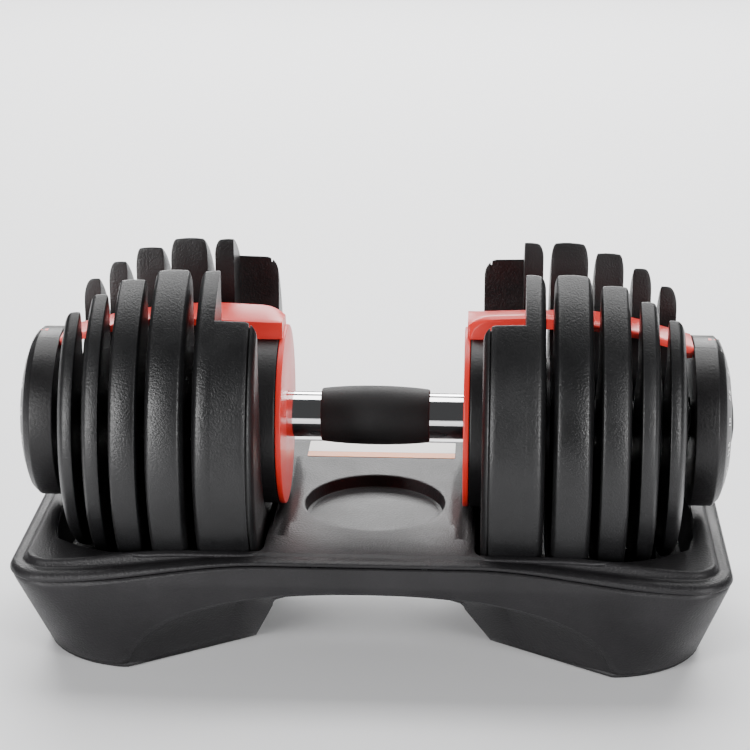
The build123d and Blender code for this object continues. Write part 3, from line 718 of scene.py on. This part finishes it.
def well_outline(grow=0.0):
    """Plan of the right-hand well at the deck's surface, anticlockwise."""
    stations = well_stations()
    inner = stations[0]
    corner_y = well_edge(inner)
    front = [(x, -well_edge(x)) for x in stations]
    end_y = well_edge(stations[-1])
    end = [(stations[-1], -end_y + 2 * end_y * n / 6) for n in range(1, 6)]
    back = [(x, -y) for x, y in reversed(front)]
    close = [(inner, corner_y - 2 * corner_y * n / 40) for n in range(1, 40)]
    loop = front + end + back + close
    if not grow:
        return loop
    result = []
    for n, (x, y) in enumerate(loop):
        before, after = loop[n - 1], loop[(n + 1) % len(loop)]
        tangent = Vector((after[0] - before[0], after[1] - before[1])).normalized()
        result.append((x + tangent.y * grow, y - tangent.x * grow))
    return result


def build_deck():
    """Upper shell: rolled rim, raised panel, a well a side and the finger pocket."""
    points, faces = [], []
    band = deck_band(points, faces)
    inner_loop = points[band:]
    wells = [deck_well(points, faces, sign) for sign in (-1, 1)]
    pocket = deck_pocket(points, faces)
    fill_panel(points, faces, inner_loop, wells, pocket)
    piece = new_mesh("cradle_deck", points, faces, 38)
    thick = piece.modifiers.new("wall", "SOLIDIFY")
    thick.thickness = DECK_WALL * MM
    thick.offset = -1
    finish_piece(piece, "tray", "tray", ["tray_deck"])


def deck_band(points, faces):
    """Rings from the joint line over the rolled rim to the panel; returns the last one's start."""
    rings = [(0.9, "seam", 0.0), (0.25, "seam", 0.55), (0.0, "seam", 1.3)]
    for n in range(8):
        angle = math.pi / 2 * n / 7
        rings.append((5.2 * (1 - math.cos(angle)), "roll", math.sin(angle)))
    rings += [(6.6, "step", 0.0), (7.8, "step", 0.05), (8.6, "step", 0.22), (9.4, "step", 0.60),
              (10.2, "step", 0.88), (11.2, "step", 0.98), (12.6, "step", 1.0)]
    start = len(points)
    for inset, kind, value in rings:
        start = len(points)
        plan = oblong(DECK_LENGTH - inset, DECK_WIDTH - inset, DECK_CORNER - inset * 0.9)
        for x, y in plan:
            bottom, rim, top = seam_z(x) + 0.5, rim_z(x), panel_z(x)
            if kind == "seam":
                z = bottom + value
            elif kind == "roll":
                z = bottom + 1.6 + (rim - bottom - 1.6) * value
            else:
                z = rim + (top - rim) * value
            points.append(floor_point(x, y, z))
    count = len(plan)
    for ring in range(len(rings) - 1):
        faces += strip_faces(ring * count, (ring + 1) * count, count)
    return start


def deck_well(points, faces, sign):
    """Rounded edge and walls of one well; returns its outer loop on the deck."""
    outer, edge = well_outline(1.6), well_outline(0.5)
    loops = []
    for plan, drop in ((outer, 0.0), (edge, 0.35), (well_outline(0.0), 1.3)):
        start = len(points)
        points.extend(floor_point(sign * x, y, deck_z(x, y) - drop) for x, y in plan)
        loops.append(start)
    count = len(outer)
    for first, second in zip(loops, loops[1:]):
        faces += strip_faces(first, second, count)
    # wall: arcs under the axis at each station, joined to the lowered edge
    stations = well_stations()
    arc = 40
    start = len(points)
    for x in stations:
        radius = well_radius(x)
        drop = AXIS_MM - panel_z(x) + 1.3
        if x == stations[0]:
            drop = AXIS_MM - deck_z(x, well_edge(x)) + 1.3
        reach = math.acos(min(drop / radius, 1))
        for n in range(arc + 1):
            angle = -reach + 2 * reach * n / arc
            points.append(floor_point(sign * x, radius * math.sin(angle),
                                      AXIS_MM - radius * math.cos(angle)))
    for n in range(len(stations) - 1):
        first, second = start + n * (arc + 1), start + (n + 1) * (arc + 1)
        faces += strip_faces(first, second, arc + 1, closed=False)
    last = start + (len(stations) - 1) * (arc + 1)
    faces.append(tuple(range(last, last + arc + 1)))
    # flat inner wall, between the first arc and the edge of the saddle
    edge_start = loops[-1]
    back_corner = edge_start + 2 * len(stations) + 5 - 1
    wall = list(range(start, start + arc + 1)) + list(range(back_corner, edge_start + count))
    faces.append(tuple(wall + [edge_start]))
    return [points[n] for n in range(loops[0], loops[0] + count)]


def deck_pocket(points, faces):
    """Oval finger pocket with a rounded rim; returns its outer loop."""
    rings = [(1.8, 0.0), (0.9, 0.12), (0.3, 0.5), (0.0, 1.1), (-0.5, 6.6), (-0.9, 7.4), (-2.0, 7.9),
             (-3.5, 8.0)]
    count = 96
    starts = []
    for grow, drop in rings:
        starts.append(len(points))
        for n in range(count):
            angle = 2 * math.pi * n / count
            points.append(floor_point((POCKET_HALF_X + grow) * math.cos(angle),
                                      POCKET_Y + (POCKET_HALF_Y + grow) * math.sin(angle),
                                      SADDLE_Z - drop))
    for first, second in zip(starts, starts[1:]):
        faces += strip_faces(first, second, count)
    faces.append(tuple(range(starts[-1], starts[-1] + count)))
    return points[starts[0]:starts[0] + count]


def inside(point, loop):
    """Whether a point lies in a closed plan outline."""
    x, y = point
    hit = False
    for (x0, y0), (x1, y1) in zip(loop, loop[1:] + loop[:1]):
        if (y0 > y) != (y1 > y) and x < (x1 - x0) * (y - y0) / (y1 - y0) + x0:
            hit = not hit
    return hit


def fill_panel(points, faces, outer, wells, pocket):
    """Triangulated panel between the rim, the wells and the pocket, at the deck's height."""
    loops = [[(p.x / MM, p.y / MM) for p in loop] for loop in [outer] + wells + [pocket]]
    plan, edges = [], []
    for loop in loops:
        start = len(plan)
        plan += loop
        edges += [(start + n, start + (n + 1) % len(loop)) for n in range(len(loop))]
    for sign in (-1, 1):
        for offset, bend in ((SCOOP_X, SCOOP_EDGE), (SCOOP_X + SCOOP_EDGE, 0.0)):
            start = len(plan)
            line = [(sign * (offset + bend * (y / 68) ** 2), y) for y in range(-68, 69, 4)]
            plan += line
            edges += [(start + n, start + n + 1) for n in range(len(line) - 1)]
    border = [Vector(p) for p in plan]
    for n in range(-51, 52):
        for m in range(-24, 25):
            spot = (n * 4.0, m * 4.0)
            if not inside(spot, loops[0]) or any(inside(spot, loop) for loop in loops[1:]):
                continue
            if min((Vector(spot) - b).length_squared for b in border) > 3.0:
                plan.append(spot)
    spots, _, triangles, _, _, _ = delaunay_2d_cdt([Vector(p) for p in plan], edges, [], 0, 0.001)
    start = len(points)
    points.extend(floor_point(v.x, v.y, deck_z(v.x, v.y)) for v in spots)
    for triangle in triangles:
        middle = sum((spots[n] for n in triangle), Vector((0, 0))) / 3
        spot = (middle.x, middle.y)
        if inside(spot, loops[0]) and not any(inside(spot, loop) for loop in loops[1:]):
            faces.append(tuple(start + n for n in triangle))


# ---- handle -------------------------------------------------------------------------------------
# x, radii and heights above the handle axis, in mm
FLANGE = (53.0, 56.5, 54.0)
HOUSING_X, END_IN, END_OUT, END_RADIUS = 85.2, 187.4, 201.0, 51.0
BEVEL_X, BEVEL_RADIUS, DIAL_RADIUS = 204.8, 47.2, 46.4
DIAL_BASE, DIAL_EDGE, DIAL_TIP, DIAL_RECESS, RECESS_X = 201.6, 205.2, 214.0, 31.0, 205.5
BLOCK_HALF, BLOCK_FLOOR = 12.0, 46.9
# x past the drum's face and drop of the pointer block's top, towards the dial
BLOCK_NOSE = ((-1.2, 0), (-0.2, 0.25), (0.9, 0.95), (1.9, 1.9), (2.8, 2.95), (3.3, 3.7))
SETTINGS = ("5", "7.5", "10", "12.5", "15", "17.5", "20", "22.5", "25", "30", "35", "40", "45", "50",
            "52.5")


def rounded_profile(corners, radius, steps=4):
    """Closed (x, radius) profile with small rounded corners."""
    return [tuple(p) for p in rounded_outline(corners, radius, steps)]


def bridge_height(x):
    """Ridge, crisp edge and lower end of the shoulder of the bridge, above the handle axis."""
    if x <= 100:
        crown = 63.6 + 1.4 * smooth_step(x, 54, 100)
    elif x <= 156:
        crown = 65.0 - 6.1 * ((x - 100) / 56) ** 2
    else:
        crown = 58.9 - 9.0 * (x - 156) / 31.4
    tilt = 1 - smooth_step(x, 96, 132)
    ridge = crown + 2.0 * tilt
    crisp = crown - 1.6 * tilt
    shoulder = ridge - 1.7
    if x < 72:
        drop = (72 - x) / 16.0
        shoulder -= 11.6 * (1 - math.sqrt(max(1 - drop * drop, 0)))
        ridge -= 4.6 * max(0, (70 - x) / 14.0) ** 2.6
    return ridge, crisp, shoulder


def bridge_section(x):
    """Cross-section: crisp edge on one side, ridge and sloping shoulder on the other."""
    ridge, crisp, shoulder = bridge_height(x)
    tilt = 1 - smooth_step(x, 96, 132)
    crisp_y = 14.4 + 0.5 * tilt
    soft_y = 14.2 - 2.2 * tilt
    ridge_y = 11.5 - 3.5 * tilt
    if x < 88:
        low_crisp = math.sqrt((FLANGE[2] - 0.3) ** 2 - crisp_y ** 2)
        low_soft = math.sqrt((FLANGE[2] - 0.3) ** 2 - soft_y ** 2)
        low_mid = FLANGE[2] - 0.3
    else:
        low_crisp = low_soft = low_mid = min(ridge, crisp) - 4.2
    section = [(crisp_y, low_crisp), (crisp_y, crisp - 0.9), (crisp_y - 0.25, crisp - 0.28),
               (crisp_y - 0.9, crisp)]
    for n in range(1, 7):
        t = n / 7
        section.append((crisp_y - 0.9 + (-ridge_y - crisp_y + 0.9) * t,
                        crisp + (ridge - crisp) * t + 0.5 * math.sin(math.pi * t)))
    section += [(-ridge_y, ridge), (-ridge_y - 0.9, ridge - 0.25)]
    for n in (1, 2, 3):
        t = n / 3
        section.append((-ridge_y - 0.9 - (soft_y - ridge_y - 1.3) * t,
                        ridge - 0.25 + (shoulder + 0.5 - ridge + 0.25) * t ** 1.3))
    section += [(-soft_y + 0.1, shoulder - 0.1), (-soft_y, shoulder - 0.7),
                (-soft_y, min(low_soft, shoulder - 0.9)), (0, low_mid)]
    return section


def build_bridge(side, sign):
    """Red spine; each side's is the other's turned half round, so crisp and soft edges swap."""
    stations = [54.6, 55.2, 56, 57, 58.2, 59.6, 61.2, 63, 65, 67.4, 70, 74, 80, 88, 88.01, 94, 100]
    stations += [106 + 6 * n for n in range(9)] + [158, 166, 176, 187.3]
    rings = []
    for x in stations:
        rings.append([axial(x, y * sign, z, sign) for y, z in bridge_section(x)])
    piece = bevel(new_mesh(side + "_bridge_spine", *skin(rings), sharp=28), 0.35, 2, 40)
    finish_piece(piece, "red", "handle", [side + "_bridge"])
    x_in, x_out, radius = FLANGE
    ring = turned(side + "_bridge_flange", rounded_profile(
        [(x_in, 13.9), (x_in, radius), (x_out, radius), (x_out, 13.9)], 0.9), sign, closed=True)
    finish_piece(ring, "red", "handle", [])
    corners = [(-7, 46.6), (-7, 41), (7, 41), (7, 46.6)]
    foot = [[axial(x, y, z, sign) for y, z in corners] for x in (182.3, 187.3)]
    piece = bevel(new_mesh(side + "_bridge_foot", *skin(foot)), 0.6)
    finish_piece(piece, "red", "handle", [])


def build_inner_housing(side, sign):
    profile = rounded_profile(
        [(FLANGE[1], 14.2), (FLANGE[1], 53.8), (HOUSING_X, 53.8), (HOUSING_X, 9.3)], 1.3)
    piece = turned(side + "_hub_drum", profile, sign, closed=True)
    finish_piece(piece, "housing", "handle", [side + "_inner_housing"])


def build_end_housing(side, sign):
    """Drum with a bevelled collar, slotted for the pointer block."""
    corners = [(END_IN, 14.1), (END_IN, END_RADIUS), (END_OUT, END_RADIUS), (BEVEL_X, BEVEL_RADIUS),
               (BEVEL_X, DIAL_RADIUS + 0.4), (END_OUT, DIAL_RADIUS + 0.4), (END_OUT, 14.1)]
    drum = turned(side + "_end_drum", rounded_profile(corners, 0.8), sign, closed=True,
                  segments=160)
    gap = BLOCK_HALF + 0.3
    slot = [axial(x, y, z, sign) for x in (END_IN - 2, BEVEL_X + 2)
            for y, z in ((-gap, BLOCK_FLOOR), (gap, BLOCK_FLOOR), (gap, 60), (-gap, 60))]
    points, faces = skin([slot[:4], slot[4:]])
    cutter = new_mesh(side + "_slot_cutter", points, faces)
    cut = drum.modifiers.new("slot", "BOOLEAN")
    cut.operation, cut.solver, cut.object = "DIFFERENCE", "EXACT", cutter
    bake_modifiers(drum)
    bpy.data.objects.remove(cutter)
    bevel(drum, 0.3, 2, 50)
    finish_piece(drum, "housing", "handle", [side + "_end_housing"])
    rings = []
    top = END_RADIUS - 0.05
    stations = [(END_IN + 0.3, 0.5), (END_IN + 0.8, 0)]
    stations += [(END_OUT + dx, drop) for dx, drop in BLOCK_NOSE]
    for x, drop in stations:
        ring = [(BLOCK_HALF, BLOCK_FLOOR + 0.1)]
        for n in range(13):
            y = BLOCK_HALF * (1 - n / 6)
            ring.append((y, max(math.sqrt(top ** 2 - y ** 2) - drop, BLOCK_FLOOR + 0.35)))
        ring.append((-BLOCK_HALF, BLOCK_FLOOR + 0.1))
        rings.append([axial(x, y, z, sign) for y, z in ring])
    piece = bevel(new_mesh(side + "_pointer_block", *skin(rings), sharp=40), 0.35, 2, 40)
    finish_piece(piece, "housing", "handle", [side + "_index_block"])
    pointer = [(-2.2, END_OUT - 4.2, 0), (2.2, END_OUT - 4.2, 0), (0, END_OUT + 0.4, 0.25)]
    rings = [[axial(x, y, math.sqrt(top ** 2 - y ** 2) - drop + lift, sign)
              for y, x, drop in pointer] for lift in (-0.1, 0.12)]
    piece = new_mesh(side + "_pointer", *skin(rings))
    finish_piece(piece, "pointer", "handle", [])


def bake_modifiers(piece):
    """Applies the piece's modifiers to its mesh."""
    graph = bpy.context.evaluated_depsgraph_get()
    mesh = bpy.data.meshes.new_from_object(piece.evaluated_get(graph))
    piece.modifiers.clear()
    piece.data = mesh


def dome_x(radius):
    """Where the dial's dome is at a radius."""
    height = DIAL_TIP - DIAL_EDGE
    sphere = (DIAL_RADIUS ** 2 + height ** 2) / (2 * height)
    return DIAL_TIP - sphere + math.sqrt(sphere ** 2 - radius ** 2)


def build_dial(side, sign):
    """Domed dial with a finger recess, a grip bar and a ring of settings."""
    body = side + "_dial"
    profile = [(DIAL_BASE, 45.6), (DIAL_BASE + 0.6, 46.3), (DIAL_EDGE - 1.0, DIAL_RADIUS),
               (DIAL_EDGE - 0.3, 46.2)]
    profile += [(dome_x(r), r) for r in (45.4, 43, 40, 37, 34, 32.4)]
    profile += [(dome_x(31.6) - 0.1, 31.6), (dome_x(31) - 0.6, 31.05), (RECESS_X + 0.9, 30.8),
                (RECESS_X + 0.2, 30.2), (RECESS_X, 29.2)]
    piece = turned(body + "_knob", profile, sign, segments=160, sharp=40)
    finish_piece(piece, "dial", body, [side + "_dial_knob"])
    rings = []
    reach = DIAL_RECESS - 0.5
    for n in range(25):
        u = -math.cos(math.pi * n / 24)
        y_mid = reach * u
        half = 6.6 + 6.8 * max(0, 1 - abs(y_mid) / 15.0) ** 0.6 * (1 if abs(y_mid) < 15 else 0)
        half = min(half, math.sqrt(max((reach + 0.2) ** 2 - y_mid ** 2, 1.0)))
        top = dome_x(abs(y_mid)) - 0.9
        flank = [(half, RECESS_X), (half, top - 1.6), (half - 0.5, top - 0.6),
                 (half - 1.6, top - 0.05)]
        ring = [(-y, x) for y, x in flank] + [(0, top + 0.05)] + flank[::-1]
        rings.append([axial(x, y, y_mid, sign) for y, x in ring])
    grip = bevel(new_mesh(body + "_grip_bar", *skin(rings), sharp=40), 0.5, 2, 40)
    finish_piece(grip, "dial", body, [side + "_dial_grip"])
    for n, text in enumerate(SETTINGS):
        dial_text(body, sign, n, text)


def dial_text(body, sign, place, text):
    """One plain number on the dial, as a thin raised print that follows the dome."""
    data = bpy.data.curves.new("%s_number_%d" % (body, place), "FONT")
    data.body = text
    data.size = 5.6 * MM
    data.align_x, data.align_y = "CENTER", "CENTER"
    data.extrude = 0.12 * MM
    label = bpy.data.objects.new("number_text", data)
    bpy.context.scene.collection.objects.link(label)
    graph = bpy.context.evaluated_depsgraph_get()
    mesh = bpy.data.meshes.new_from_object(label.evaluated_get(graph))
    bpy.data.objects.remove(label)
    radius = 38.6                                   # the ring the numbers stand on
    turn = 2 * math.pi * (len(SETTINGS) - 1 - place) / len(SETTINGS)
    slope = math.atan2(dome_x(radius - 2) - dome_x(radius + 2), 4)
    stand = Matrix(((0, 0, 1, 0), (1, 0, 0, 0), (0, 1, 0, 0), (0, 0, 0, 1)))
    tilt = Matrix.Rotation(-slope, 4, "Y")
    spin = Matrix.Rotation(-turn, 4, "X")
    rise = Matrix.Translation((0, 0, radius * MM))
    out = Matrix.Translation(((dome_x(radius) + 0.02) * MM, 0, 0))
    face = Matrix.Rotation(0 if sign > 0 else math.pi, 4, "Z")
    mesh.transform(Matrix.Translation((0, 0, AXIS_Z)) @ face @ out @ spin @ rise @ tilt @ stand)
    piece = bpy.data.objects.new("%s_number_%d" % (body, place), mesh)
    bpy.context.scene.collection.objects.link(piece)
    finish_piece(piece, "number", body, [])


def build_grip():
    """Barrel-shaped rubber sleeve with rounded ends."""
    reach, end_radius, swell = 31.3, 16.05, 1.75
    profile = [(-32.5, 13.9), (-32.5, 15.2), (-32.1, 15.8), (-reach, end_radius)]
    for n in range(1, 20):
        x = -reach + 2 * reach * n / 20
        profile.append((x, end_radius + swell * (1 - (x / reach) ** 2) ** 0.9))
    profile += [(reach, end_radius), (32.1, 15.8), (32.5, 15.2), (32.5, 13.9)]
    piece = turned("grip_sleeve_barrel", profile, closed=True, segments=96)
    finish_piece(piece, "rubber", "handle", ["grip_sleeve"])


def build_label():
    """Blank label at the back of the saddle: pale sheet with an orange band along its front."""
    low, high = (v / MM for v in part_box("label"))
    top = low.z + 0.28
    for name, y0, y1, material in (("label_sheet", low.y + 9.0, high.y, "white"),
                                   ("label_band", low.y, low.y + 8.9, "orange")):
        corners = [(low.x, y0), (high.x, y0), (high.x, y1), (low.x, y1)]
        plan = rounded_outline(corners, 1.2)
        rings = [[floor_point(p.x, p.y, z) for p in plan] for z in (low.z, top)]
        piece = bevel(new_mesh(name, *skin(rings)), 0.08, 2)
        nodes = ["label"] if name == "label_sheet" else []
        finish_piece(piece, material, "tray", nodes)


# ---- main ---------------------------------------------------------------------------------------
MATERIALS = make_materials()
add_camera()
add_studio()
build_base()
build_deck()
build_label()
build_grip()
for side, sign in SIDES:
    build_bridge(side, sign)
    build_inner_housing(side, sign)
    build_end_housing(side, sign)
    build_dial(side, sign)
    for number in range(1, 6):
        build_plate(side, sign, number)

NODE_MATERIALS = {
    "tray_deck": "tray", "tray_base": "tray", "rest_combs": "tray", "rubber_feet": "foot",
    "deck_screws": "steel", "label": "white", "handle_tube": "chrome", "grip_sleeve": "rubber",
    "tie_rod": "steel", "rod_nuts": "steel", "housing_screws": "steel", "click_balls": "steel",
    "click_springs": "steel", "lock_springs": "steel", "bridge": "red", "inner_housing": "housing",
    "end_housing": "housing", "index_block": "housing", "selector_shaft": "steel",
    "dial_knob": "dial", "dial_grip": "dial", "lock_slide": "steel", "selector_disc": "disc",
    "plate_core": "core", "plate_cover": "plate",
}
for node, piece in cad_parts.items():
    key = node.removeprefix("left_").removeprefix("right_").rstrip("_12345")
    for slot in piece.material_slots:
        slot.material = MATERIALS[NODE_MATERIALS[key]]
